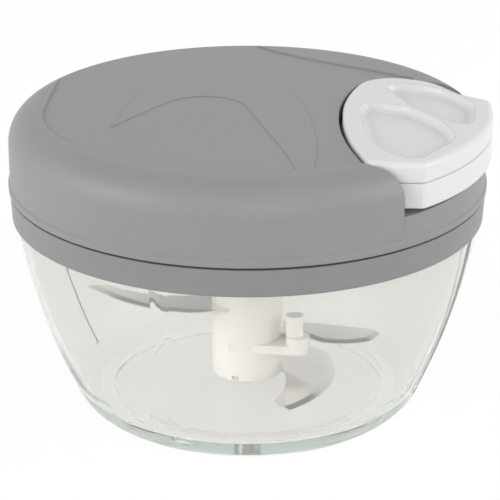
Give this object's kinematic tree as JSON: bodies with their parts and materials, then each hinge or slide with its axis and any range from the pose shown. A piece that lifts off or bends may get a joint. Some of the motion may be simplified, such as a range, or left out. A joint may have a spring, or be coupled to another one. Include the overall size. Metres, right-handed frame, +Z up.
{
  "type": "pull-string food chopper",
  "caption": "Hand food chopper: clear tapered bowl, grey lid with a cord-driven reel, white pull handle with finger dishes, and a blade column on a pin.",
  "frame": {"origin": "on the bowl's axis, in the plane of its foot", "axes": "+Z up along the axis that the blades turn on, +X the way the handle is pulled out of the lid, +Y to the left of it"},
  "size_m": [0.1317, 0.1308, 0.0855],
  "materials": {
    "clear_plastic": "clear moulded plastic with a faint green tint",
    "grey_plastic": "satin mid-grey moulded plastic",
    "handle_plastic": "glossy white moulded plastic",
    "white_plastic": "white moulded plastic",
    "blade_steel": "ground stainless steel",
    "steel": "plain steel",
    "spring_steel": "blued spring strip",
    "brass": "plain brass",
    "silicone": "translucent white silicone rubber",
    "cord": "white braided cord"
  },
  "bodies": {
    "bowl": {"bowl": "clear_plastic", "bowl_pin": "steel"},
    "blade_unit": {"blade_hub": "white_plastic", "hub_bush": "brass", "blade_lower": "blade_steel", "blade_middle": "blade_steel", "blade_upper": "blade_steel"},
    "lid": {"lid_base": "grey_plastic", "lid_cover": "grey_plastic", "seal_ring": "silicone", "base_bush": "brass", "shaft_seal": "silicone", "thrust_washer": "steel", "lid_screws": "steel", "spring_arbor": "white_plastic", "arbor_screws": "steel", "power_spring": "spring_steel", "cord_guide": "steel", "pull_cord": "cord"},
    "reel": {"reel": "white_plastic", "reel_cap": "white_plastic", "reel_pin": "steel", "drive_socket": "white_plastic", "socket_screw": "steel"},
    "handle": {"handle_top": "handle_plastic", "handle_base": "handle_plastic", "handle_screws": "steel", "cord_stop": "steel"}
  },
  "joints": [
    {"name": "lid_lift", "type": "slide", "parent": "bowl", "child": "lid", "axis": [0, 0, 1], "range_m": [0, 0.085]},
    {"name": "handle_pull", "type": "slide", "parent": "lid", "child": "handle", "axis": [1, 0, 0], "range_m": [0, 0.42], "stiffness_N_per_m": 8, "springref_m": -1, "deforming": ["pull_cord"]},
    {"name": "reel_spin", "type": "hinge", "parent": "lid", "child": "reel", "pos_m": [0, 0, 0.0685], "axis": [0, 0, 1], "range_deg": [0, 957.9], "deforming": ["power_spring"]},
    {"name": "blade_spin", "type": "hinge", "parent": "bowl", "child": "blade_unit", "pos_m": [0, 0, 0.0065], "axis": [0, 0, 1], "range_deg": [0, 957.9]}
  ],
  "couplings": [
    {"joint": "reel_spin", "follows": "handle_pull", "rad_per_m": 39.682},
    {"joint": "blade_spin", "follows": "handle_pull", "rad_per_m": 39.682}
  ]
}
